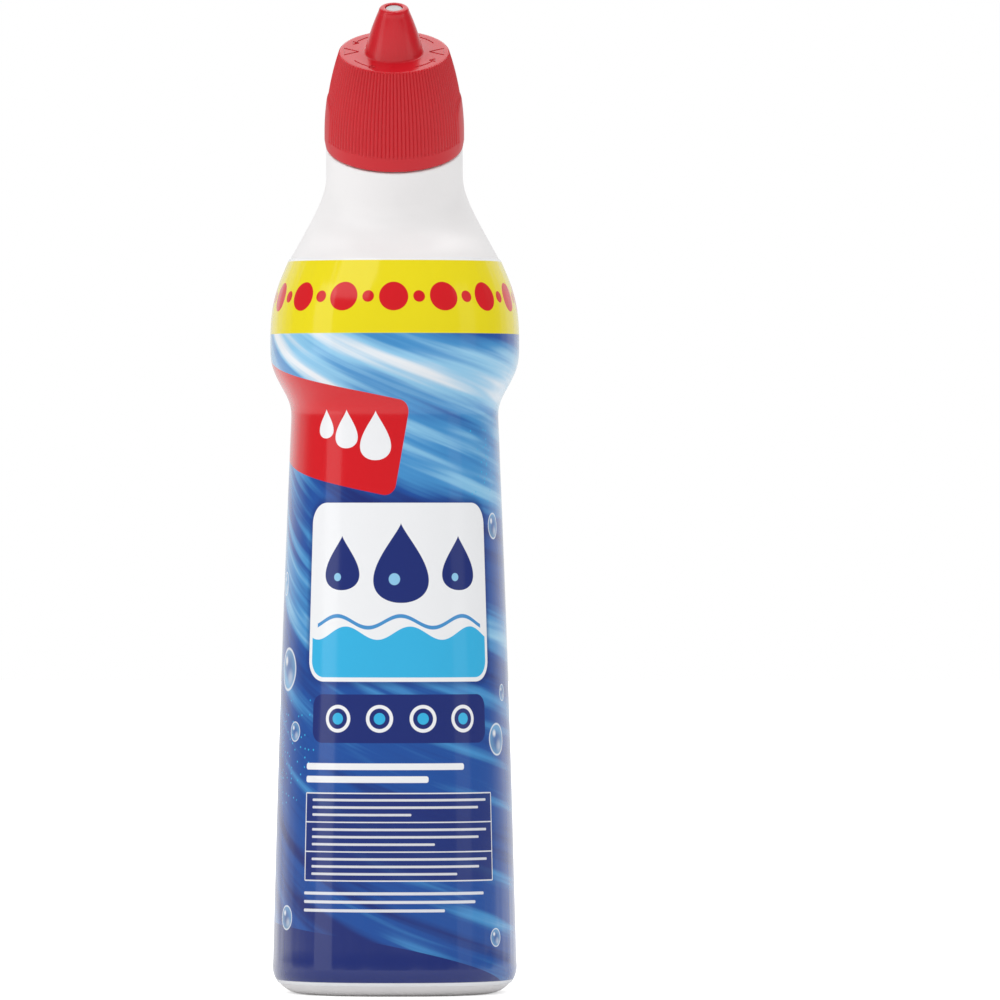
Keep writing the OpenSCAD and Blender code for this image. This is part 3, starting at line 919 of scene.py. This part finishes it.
class BOTTLE_OT_shrink_film(Operator):
    """Printed film shrunk round the body, with a lap seam at the back and fine wrinkles"""

    bl_idname = "bottle.shrink_film"
    bl_label = "Shrink film"

    def execute(self, context):
        s = context.scene.bottle_sizes
        film = context.scene.film_sizes
        form = BodyForm(s)
        turn = directions(256)
        dip = 0.5 + waves(turn, (0.3, 3, 1.1), (0.14, 8, 0.4), (0.06, 19, 2))
        upper_edge = film.high - film.edge_wave * dip
        crest = film.high - 2 * MM
        grip = s.waist_height - 6 * MM
        heights = np.concatenate([
            np.arange(s.foot_radius + 2 * MM, grip, 3 * MM),
            np.arange(grip, crest - 0.5 * MM, 1.25 * MM),
        ])[:, None] + 0 * turn
        last = np.array([0, 0.55, 0.8, 1])[:, None]
        heights = np.concatenate([heights, mix(crest, upper_edge, last)])

        start = math.acos(1 - film.low / s.foot_radius)
        curve = form.foot_curve(0, start, 8, turn)
        away = curve - form.foot(s.foot_radius, s.foot_radius + 0 * turn, turn)
        away /= np.linalg.norm(away, axis=-1, keepdims=True)
        inner = curve + film.clearance * away
        outer = curve + (film.clearance + film.thickness) * away

        count = turn.shape[1]
        steps = np.arange(count)
        from_back = np.minimum(steps, count - steps) * 2 * math.pi / count * s.waist_depth / 2
        single = film.lap_step * (from_back > film.lap / 2)
        share = (heights - heights.min()) / (heights.max() - heights.min())
        near_edge = soft((np.abs(share - 0.5) - 0.28) / 0.22)
        ripple = waves(
            turn, (0.4, 23, 6 * share), (0.35, 41, 1 - 9 * share), (0.25, 67, 2 + 5 * share)
        )
        wrinkle = film.wrinkle * (0.5 + 0.5 * ripple) * (0.15 + 0.85 * near_edge)
        bead = 0.1 * MM * soft((share - 0.985) / 0.01)
        reach = film.clearance + film.thickness - single - wrinkle + bead
        outer_skin = form.skin(heights, turn, reach)
        inner_skin = form.skin(heights, turn, np.array(film.clearance))
        rings = np.concatenate([outer, outer_skin, inner_skin[::-1], inner[::-1]])

        lengths = np.linalg.norm(np.roll(rings, -1, axis=1) - rings, axis=-1)
        run = np.concatenate([np.zeros((len(rings), 1)), np.cumsum(lengths, axis=1)], axis=1)
        level = rings[..., 2].mean(axis=1, keepdims=True)
        tall = np.concatenate([rings[..., 2], rings[:, :1, 2]], axis=1)
        tall = np.where(tall > film.high - 3 * MM, tall, level) / (CHART_HEIGHT * MM)
        chart = np.stack([run / run[:, -1:], tall], axis=-1)
        mesh = ring_mesh("shrink_film", rings, loop=True, chart=chart)
        mesh.materials.append(printed_film())
        place("shrink_film", mesh, "bottle", "printed_film", "printed_film")
        return {"FINISHED"}


def grown(name, mesh, build, material, values):
    """Grows a mesh with Geometry Nodes whose named inputs take the values, as a plain mesh.

    build adds the nodes between the inputs and Realize Instances. A whole number gives an
    integer input, and any other value a float input.
    """
    tree = bpy.data.node_groups.new(name, "GeometryNodeTree")
    face = tree.interface
    face.new_socket("Geometry", in_out="INPUT", socket_type="NodeSocketGeometry")
    for key, value in values.items():
        kind = "NodeSocketInt" if isinstance(value, int) else "NodeSocketFloat"
        face.new_socket(key, in_out="INPUT", socket_type=kind)
    face.new_socket("Geometry", in_out="OUTPUT", socket_type="NodeSocketGeometry")
    source = tree.nodes.new("NodeGroupInput")
    given = {socket.name: Field(tree, socket) for socket in source.outputs if socket.name}
    real = node_of(tree, "GeometryNodeRealizeInstances", {0: build(tree, given)})
    painted = node_of(tree, "GeometryNodeSetMaterial", {"Geometry": real, "Material": material})
    feed(tree, tree.nodes.new("NodeGroupOutput").inputs[0], painted)

    carrier = bpy.data.objects.new(name + "_carrier", mesh)
    bpy.context.scene.collection.objects.link(carrier)
    modifier = carrier.modifiers.new(name, "NODES")
    modifier.node_group = tree
    for item in tree.interface.items_tree:
        if item.in_out == "INPUT" and item.name in values:
            modifier[item.identifier] = values[item.name]
    graph = bpy.context.evaluated_depsgraph_get()
    result = bpy.data.meshes.new_from_object(carrier.evaluated_get(graph))
    carrier.modifiers.remove(modifier)
    bpy.data.objects.remove(carrier)
    return result


def ribs_and_pads(tree, given):
    """Raises ribs all round a turned shape, and two smooth pads that stand proud of them."""
    squareness = 4
    x, y, z = parts_of(tree, node_of(tree, "GeometryNodeInputPosition"))
    away = size_of(tree, x, y)
    turn = y.heading(x)
    wave = abs((turn * given["Ribs"] * 0.5).cosine())
    above = (z - given["Rib start"]).highest(0)
    lower = above.rising(0.0, given["Run-out"])
    upper = (given["Rib end"] - z).rising(0.0, given["Run-out"] * 0.5)
    drawn_in = above * above / (given["Barrel radius"] * 2) + given["Groove depth"]
    outside = (away - given["Radius"] + drawn_in).rising(-0.6 * MM, -0.42 * MM)
    off = abs(turn).lowest(math.pi - abs(turn)) / given["Pad half width"]
    tall = (z - given["Pad foot"]) / (given["Pad height"] * 0.5) - 1
    reach = (off**squareness + tall**squareness) ** (1 / squareness)
    pad = reach.rising(0.86, 1.08, 1.0, 0.0)
    crest = (1 - lower).highest(wave * upper)
    lift = crest.highest(pad) * given["Groove depth"] + pad * given["Pad stand-out"]
    lift = lift * outside / away.highest(1e-6)
    offset = vector_of(tree, x * lift, y * lift)
    inputs = {"Geometry": given["Geometry"], "Offset": offset}
    return node_of(tree, "GeometryNodeSetPosition", inputs)


class CapForm:
    """Profile of the overcap in the neck's own frame: radii and heights in metres."""

    def __init__(self, sizes):
        self.s = sizes
        self.top = sizes.gap + sizes.height
        self.tip = self.top + sizes.cone_height

    def side(self, height):
        """Radius of the grooves' bottom at a height above the rim."""
        s = self.s
        return s.radius - max(0.0, height - s.band) ** 2 / (2 * s.barrel) - s.groove

    def cone(self, height):
        """Radius of the cone's outside at a height above the flat top."""
        s = self.s
        share = height / s.cone_height
        return mix(s.cone_radius, s.cone_tip, share) + 4 * s.cone_bulge * share * (1 - share)

    def profile(self):
        """Closed outline: up the outside, over the cone's tip, down the inside."""
        s = self.s
        rim_round = 0.3 * MM
        row = 0.6 * MM
        rise = s.height - s.top_round
        foot = self.side(0)
        points = arc((foot - rim_round, s.gap + rim_round), rim_round, -90, 0, 4)
        groove_end = np.arange(-2, 6) * s.run_out / 4 + s.band
        barrel = np.arange(groove_end[-1] + row, rise - row / 2, row)
        for h in (1 * MM, 1.8 * MM, *groove_end, *barrel, rise):
            points.append((self.side(h), s.gap + h))
        edge = self.side(rise)
        points += arc((edge - s.top_round, s.gap + rise), s.top_round, 15, 90, 6)
        fillet = 0.5 * MM
        deck_r = edge - s.top_round
        points += [(deck_r - 1 * MM, self.top), (deck_r - 2.5 * MM, self.top)]
        foot_r = self.cone(fillet) + fillet
        points += arc((foot_r, self.top + fillet), fillet, 270, 195, 5)
        turn_r = s.cone_round
        for k in range(1, 14):
            h = mix(fillet, s.cone_height - turn_r, k / 13)
            points.append((self.cone(h), self.top + h))
        tip_r = self.cone(s.cone_height - turn_r) - turn_r
        points += arc((tip_r, self.tip - turn_r), turn_r, 15, 90, 6)
        lip = 0.12 * MM
        points += [(s.hole + lip, self.tip), (s.hole, self.tip - lip), (s.hole, self.tip - 1 * MM)]
        for k in range(6):
            h = mix(s.cone_height - 1.6 * MM, 0, k / 5)
            points.append((self.cone(h) - s.cone_wall, self.top + h))
        points.append((self.cone(0) - s.cone_wall, s.top_low))
        inner = [
            (self.side(z - s.gap) - s.wall, z)
            for z in np.linspace(s.top_low, s.bead_height + 0.2 * MM, 8)
        ]
        points += inner
        wall_r = self.side(0) - s.wall
        points += [
            (wall_r, s.bead_height),
            (s.bead_radius, s.bead_height - 0.3 * MM),
            (s.bead_radius, s.bead_height - 0.8 * MM),
            (wall_r, s.bead_height - 1.1 * MM),
            (wall_r, s.gap + 0.15 * MM),
            (wall_r + 0.15 * MM, s.gap),
        ]
        return points


class BOTTLE_OT_ribbed_overcap(Operator):
    """Overcap with fine ribs, two squeeze pads, a flat top and an open cone"""

    bl_idname = "bottle.ribbed_overcap"
    bl_label = "Ribbed overcap"

    def execute(self, context):
        s = context.scene.cap_sizes
        rows_a_rib = 6
        rings = lathe(CapForm(s).profile(), s.ribs * rows_a_rib)
        blank = ring_mesh("overcap_blank", rings, loop=True)
        mesh = grown("ribbed_overcap", blank, ribs_and_pads, red_polypropylene(), {
            "Ribs": s.ribs,
            "Groove depth": s.groove,
            "Rib start": s.gap + s.band,
            "Rib end": s.gap + s.height,
            "Run-out": s.run_out,
            "Radius": s.radius,
            "Barrel radius": s.barrel,
            "Pad half width": s.pad_half,
            "Pad height": s.pad_height,
            "Pad stand-out": s.pad_out,
            "Pad foot": s.gap + s.pad_foot,
        })
        mesh.transform(NECK_FRAME)
        mesh.set_sharp_from_angle(angle=math.radians(60))
        place("ribbed_overcap", mesh, "squeeze_shell", "red_overcap", "overcap")
        return {"FINISHED"}


def raised_line(tree, curve, width, height):
    """Low raised line along a flat curve."""
    size = {"Width": height, "Height": width}
    section = node_of(tree, "GeometryNodeCurvePrimitiveQuadrilateral", size, mode="RECTANGLE")
    inputs = {"Curve": curve, "Profile Curve": section, "Fill Caps": True}
    return node_of(tree, "GeometryNodeCurveToMesh", inputs)


def ring_of(tree, shape, count, radius, first):
    """A shape repeated round a circle, each copy facing outwards."""
    heading = node_of(tree, "GeometryNodeInputIndex") * (2 * math.pi) / count + first
    spot = vector_of(tree, heading.cosine() * radius, heading.sine() * radius)
    return node_of(tree, "GeometryNodeInstanceOnPoints", {
        "Points": node_of(tree, "GeometryNodePoints", {"Count": count, "Position": spot}),
        "Instance": shape,
        "Rotation": vector_of(tree, 0.0, 0.0, heading),
    })


def shifted(tree, shape, x=0.0, y=0.0, z=0.0, turn=0.0, scale=1.0):
    """A shape moved, turned about Z and made smaller on its own plane."""
    return node_of(tree, "GeometryNodeTransform", {
        "Geometry": shape,
        "Translation": vector_of(tree, x, y, z),
        "Rotation": vector_of(tree, 0.0, 0.0, turn),
        "Scale": (scale, scale, 1.0),
    })


def joined(tree, first, second):
    """Two shapes as one."""
    both = node_of(tree, "GeometryNodeJoinGeometry", {0: first})
    feed(tree, both.socket.node.inputs[0], second)
    return both


def squeeze_marks(tree, given):
    """Outlined triangles that point in over the pads, and curved arrows between them."""
    width, height, radius = given["Line width"], given["Line height"], given["Mark radius"]
    outline = node_of(tree, "GeometryNodeCurvePrimitiveCircle", {
        "Resolution": 3,
        "Radius": given["Triangle size"],
    })
    triangle = raised_line(tree, outline, width, height)
    pointing_in = shifted(tree, triangle, turn=math.pi)
    triangles = ring_of(tree, pointing_in, given["Pads"], radius, 0.0)
    span = given["Arrow span"]
    bow = node_of(tree, "GeometryNodeCurveArc", {
        "Resolution": 14,
        "Radius": radius,
        "Start Angle": span * -0.5,
        "Sweep Angle": span,
    }, mode="RADIUS")
    shaft = shifted(tree, raised_line(tree, bow, width, height), x=radius * -1)
    end = span * 0.5
    tip = shifted(
        tree,
        triangle,
        x=radius * (end.cosine() - 1),
        y=radius * end.sine(),
        turn=end + math.pi / 2,
        scale=0.42,
    )
    arrows = ring_of(tree, joined(tree, shaft, tip), given["Arrows"], radius, math.pi / 4)
    return shifted(tree, joined(tree, triangles, arrows), z=given["Deck height"])


class BOTTLE_OT_deck_marks(Operator):
    """Raised marks on the overcap's flat top that show where to squeeze and which way to turn"""

    bl_idname = "bottle.deck_marks"
    bl_label = "Raised marks"

    def execute(self, context):
        s = context.scene.cap_sizes
        empty = bpy.data.meshes.new("mark_blank")
        material = bpy.data.materials["red_polypropylene"]
        mesh = grown("deck_marks", empty, squeeze_marks, material, {
            "Line width": s.mark_width,
            "Line height": s.mark_height * 2,
            "Deck height": s.gap + s.height,
            "Mark radius": s.mark_radius,
            "Triangle size": s.mark_size,
            "Arrow span": math.radians(32),
            "Pads": 2,
            "Arrows": 4,
        })
        mesh.transform(NECK_FRAME)
        place("deck_marks", mesh, "squeeze_shell", "red_overcap")
        return {"FINISHED"}


def right_handed_thread(tree, given):
    """Screw thread: a ridge that climbs round the mouth tube and fades at both ends."""
    spiral = node_of(tree, "GeometryNodeCurveSpiral", {
        "Resolution": 48,
        "Reverse": True,
        "Rotations": given["Turns"],
        "Start Radius": given["Root radius"],
        "End Radius": given["Root radius"],
        "Height": given["Pitch"] * given["Turns"],
    })
    along = node_of(tree, "GeometryNodeSplineParameter", output="Factor")
    fade = along.lowest(1 - along).rising(0.0, 0.09, 0.3, 1.0)
    section = node_of(tree, "GeometryNodeCurvePrimitiveCircle", {
        "Resolution": 8,
        "Radius": given["Depth"],
    })
    ridge = node_of(tree, "GeometryNodeCurveToMesh", {
        "Curve": spiral,
        "Profile Curve": section,
        "Scale": fade,
        "Fill Caps": True,
    })
    return shifted(tree, ridge, z=given["Start"])


class BOTTLE_OT_mouth_thread(Operator):
    """Screw thread round the mouth tube"""

    bl_idname = "bottle.mouth_thread"
    bl_label = "Mouth thread"

    def execute(self, context):
        s = context.scene.bottle_sizes
        empty = bpy.data.meshes.new("thread_blank")
        material = bpy.data.materials["blown_polyethylene"]
        mesh = grown("mouth_thread", empty, right_handed_thread, material, {
            "Root radius": s.mouth_radius,
            "Depth": s.thread_depth,
            "Pitch": s.thread_pitch,
            "Turns": s.thread_turns,
            "Start": s.thread_start,
        })
        mesh.transform(NECK_FRAME)
        mesh.shade_smooth()
        place("mouth_thread", mesh, "bottle", "white_bottle")
        return {"FINISHED"}


class BOTTLE_OT_locking_lugs(Operator):
    """Two locking lugs on the land, in front of and behind the mouth tube"""

    bl_idname = "bottle.locking_lugs"
    bl_label = "Locking lugs"

    def execute(self, context):
        s = context.scene.bottle_sizes
        inner, outer = s.mouth_radius - 0.5 * MM, 14.85 * MM
        low, high = -0.3 * MM, s.lug_height
        section = ((inner, low), (outer, low), (outer, high), (inner, high))
        steps = 12
        points, faces = [], []
        for middle in (math.pi / 2, math.pi * 1.5):
            base = len(points)
            last = base + steps * 4
            for turn in middle + s.lug_span * (np.arange(steps + 1) / steps - 0.5):
                points += [(r * math.cos(turn), r * math.sin(turn), z) for r, z in section]
            for row in range(base, last, 4):
                for a, b in ((0, 1), (1, 2), (2, 3), (3, 0)):
                    faces.append((row + a, row + a + 4, row + b + 4, row + b))
            faces.append((base, base + 1, base + 2, base + 3))
            faces.append((last + 3, last + 2, last + 1, last))
        mesh = bpy.data.meshes.new("locking_lugs")
        mesh.from_pydata(points, [], faces)
        mesh.transform(NECK_FRAME)
        mesh.materials.append(bpy.data.materials["blown_polyethylene"])
        place("locking_lugs", mesh, "bottle", "white_bottle")
        return {"FINISHED"}


class BOTTLE_OT_inner_parts(Operator):
    """Finishes of the inner cap, the squirt nozzle and the sealing washer"""

    bl_idname = "bottle.inner_parts"
    bl_label = "Inner parts"

    def execute(self, context):
        for node, material in (
            ("inner_cap", white_polypropylene_painted_shade()),
            ("squirt_nozzle", natural_polyethylene()),
            ("seal_washer", foamed_polyethylene()),
        ):
            for slot in frame["nodes"][node].material_slots:
                slot.material = material
        return {"FINISHED"}


def lamp(name, spot, aim, width, height, watts):
    """Soft box that faces a point."""
    data = bpy.data.lights.new(name, "AREA")
    data.shape = "RECTANGLE"
    data.size = width
    data.size_y = height
    data.energy = watts
    box = bpy.data.objects.new(name, data)
    box.location = spot
    box.rotation_euler = (Vector(aim) - Vector(spot)).to_track_quat("-Z", "Y").to_euler()
    bpy.context.scene.collection.objects.link(box)


def seen_directly(tree):
    """1 for rays from the camera, and 1 for those that a gloss or a clear part sends on."""
    camera = node_of(tree, "ShaderNodeLightPath", output="Is Camera Ray")
    path = camera.socket.node
    glossy, clear = (
        Field(tree, path.outputs[name]) for name in ("Is Glossy Ray", "Is Transmission Ray")
    )
    return camera, glossy.highest(clear)


class BOTTLE_OT_stage(Operator):
    """White floor, plain studio light and the camera at the photo's angle"""

    bl_idname = "bottle.stage"
    bl_label = "Stage"

    def execute(self, context):
        scene = context.scene
        s = scene.stage_sizes
        scene.view_settings.view_transform = "Standard"
        middle = (0, 0, s.camera_height)
        for name, spot, width, height, share in (
            ("left_strip", (-1.21, -0.54, 0.35), 0.58, 1.3, 1),
            ("right_strip", (1.21, -0.5, 0.35), 0.5, 1.3, 0.35),
            ("upper_left_box", (-1.05, -1.15, 1.55), 1.6, 1.2, 3.2),
            ("top_box", (0.5, 0.2, 1.8), 1.2, 1.2, 1.6),
        ):
            lamp(name, spot, middle, width, height, s.lamp_power * share)

        world = bpy.data.worlds.new("studio")
        scene.world = world
        world.use_nodes = True
        tree = world.node_tree
        ground = tree.nodes["Background"]
        view = node_of(tree, "ShaderNodeTexCoord", output="Generated")
        _, behind, above = parts_of(tree, view)
        edges = behind.rising(0.3, 1.0, s.dim_room, 0.8)
        room = edges.highest((behind * 0.7 + above * 0.8).rising(0.75, 1.0, 0.0, 1.6))
        camera, reflected = seen_directly(tree)
        strength = camera.highest(reflected * room).highest((1 - reflected) * s.fill)
        feed(tree, ground.inputs["Strength"], strength)
        ground.inputs["Color"].default_value = (1, 1, 1, 1)

        half, grey = 6, 0.88
        mesh = bpy.data.meshes.new("floor")
        corners = [(-half, -half, 0), (half, -half, 0), (half, half, 0), (-half, half, 0)]
        mesh.from_pydata(corners, [], [(0, 1, 2, 3)])
        finish = Finish("white_floor", roughness=0.9, specular_ior_level=0.0)
        finish.set("Base Color", (grey, grey, grey, 1))
        finish.set("Emission Color", (1, 1, 1, 1))
        x, y, _ = parts_of(finish.tree, finish.place())
        far = size_of(finish.tree, x, y).rising(0.15, 0.9, 0.5, 1.0)
        camera, reflected = seen_directly(finish.tree)
        finish.set("Emission Strength", (camera + reflected * s.dim_room) * far)
        mesh.materials.append(finish.material)
        floor = bpy.data.objects.new("floor", mesh)
        scene.collection.objects.link(floor)

        data = bpy.data.cameras.new("camera")
        data.sensor_width = 36
        data.lens = data.sensor_width * s.camera_away / s.view_width
        data.clip_end = 30
        camera = bpy.data.objects.new("camera", data)
        camera.location = (s.camera_right, -s.camera_away, s.camera_height)
        camera.rotation_euler = (math.pi / 2, 0, 0)
        scene.collection.objects.link(camera)
        scene.camera = camera
        return {"FINISHED"}


class BOTTLE_PT_panel(Panel):
    """Lists the bottle's pieces and its sizes"""

    bl_label = "Squeeze bottle"
    bl_idname = "BOTTLE_PT_panel"
    bl_space_type = "VIEW_3D"
    bl_region_type = "UI"
    bl_category = "Bottle"

    def draw(self, context):
        for operator in OPERATORS:
            self.layout.operator(operator.bl_idname)
        for key, group in GROUPS.items():
            box = self.layout.box()
            box.label(text=key.replace("_", " ").capitalize())
            for name in group.__annotations__:
                box.prop(getattr(context.scene, key), name)


OPERATORS = (
    BOTTLE_OT_blown_bottle,
    BOTTLE_OT_mouth_thread,
    BOTTLE_OT_locking_lugs,
    BOTTLE_OT_shrink_film,
    BOTTLE_OT_ribbed_overcap,
    BOTTLE_OT_deck_marks,
    BOTTLE_OT_inner_parts,
    BOTTLE_OT_stage,
)


def register():
    for group in GROUPS.values():
        bpy.utils.register_class(group)
    for key, group in GROUPS.items():
        setattr(bpy.types.Scene, key, PointerProperty(type=group))
    for item in (*OPERATORS, BOTTLE_PT_panel):
        bpy.utils.register_class(item)


def unregister():
    for item in (BOTTLE_PT_panel, *reversed(OPERATORS)):
        bpy.utils.unregister_class(item)
    for key, group in GROUPS.items():
        delattr(bpy.types.Scene, key)
        bpy.utils.unregister_class(group)


def main():
    """Builds every piece and the stage."""
    register()
    for operator in OPERATORS:
        family, name = operator.bl_idname.split(".")
        getattr(getattr(bpy.ops, family), name)()


if __name__ == "__main__":
    main()
